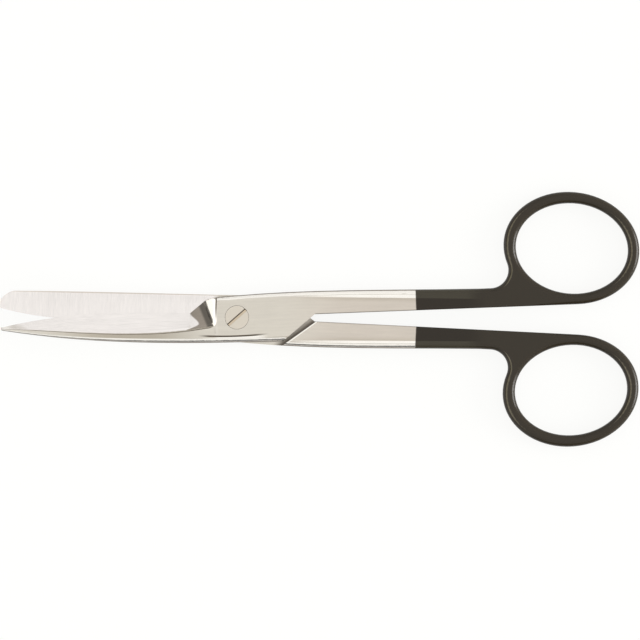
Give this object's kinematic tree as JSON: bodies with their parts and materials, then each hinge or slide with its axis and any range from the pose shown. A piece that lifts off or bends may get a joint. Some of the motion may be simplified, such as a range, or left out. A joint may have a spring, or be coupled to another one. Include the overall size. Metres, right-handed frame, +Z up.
{
  "type": "operating scissors",
  "caption": "Curved operating scissors with a sharp and a blunt blade, a flush slotted pivot screw and black coated ring handles.",
  "frame": {"origin": "on the table plane under the pivot axis, at the lower half's joint plate", "axes": "+Z up from the table along the pivot axis, blades towards -X, finger rings towards +X, +Y towards the upper half's ring"},
  "size_m": [0.1405, 0.056, 0.0103],
  "materials": {
    "coated_steel_upper": "satin joint and bright polished edges, ground blade, black coating on the rear of the shank and the ring",
    "coated_steel_lower": "satin joint and bright polished edges, ground blade, black coating on the rear of the shank and the ring",
    "screw_steel": "fine turned, ground flush"
  },
  "bodies": {
    "lower": {"blunt_half": "coated_steel_lower", "pivot_screw": "screw_steel"},
    "upper": {"sharp_half": "coated_steel_upper"}
  },
  "joints": [
    {"name": "pivot", "type": "hinge", "parent": "lower", "child": "upper", "pos_m": [0, 0, 0], "axis": [0, 0, 1], "range_deg": [-5, 119]}
  ]
}
